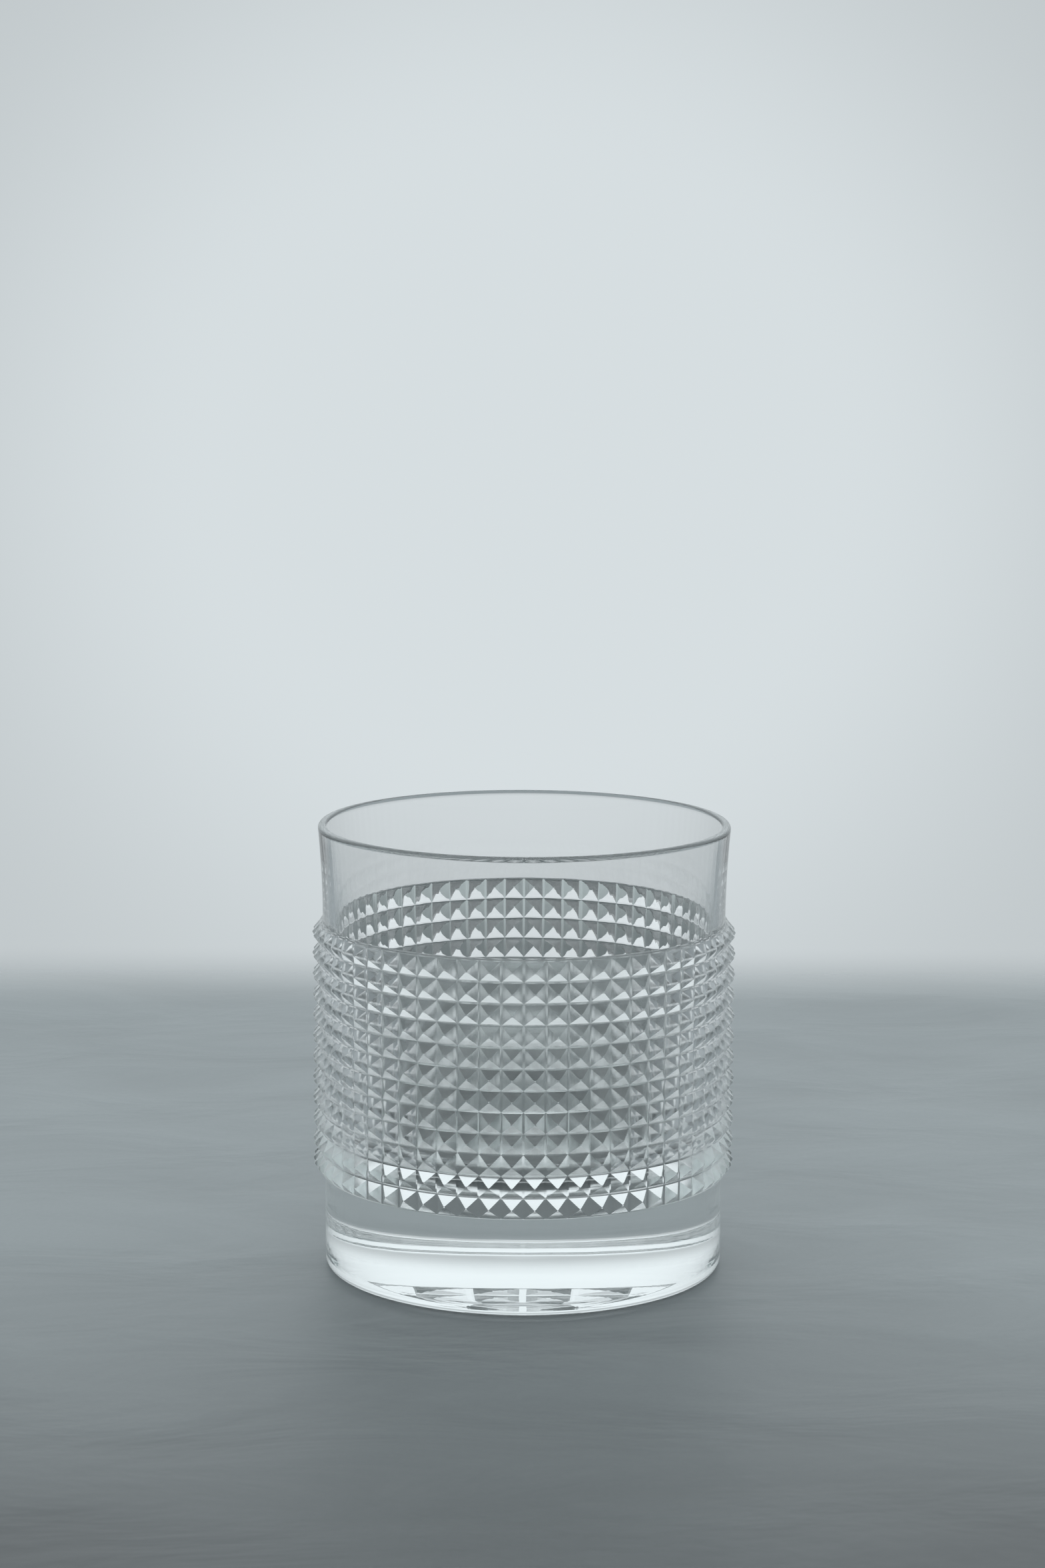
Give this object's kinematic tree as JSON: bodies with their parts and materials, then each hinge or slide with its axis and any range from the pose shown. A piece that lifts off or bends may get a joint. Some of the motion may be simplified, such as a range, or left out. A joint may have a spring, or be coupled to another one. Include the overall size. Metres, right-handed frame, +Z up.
{
  "type": "whiskey tumbler",
  "caption": "Short clear-glass whiskey tumbler with a wide band of square pyramid studs, a thick solid base and a plain rounded drinking rim.",
  "frame": {"origin": "centre of the flat ring that the glass stands on, at table height", "axes": "+Z up along the axis of the glass, -Y towards the viewer"},
  "size_m": [0.0866, 0.0866, 0.092],
  "materials": {
    "glass": "clear, fire-polished"
  },
  "bodies": {
    "root": {"base": "glass", "bowl": "glass", "rim": "glass", "stud_band": "glass"}
  },
  "joints": []
}
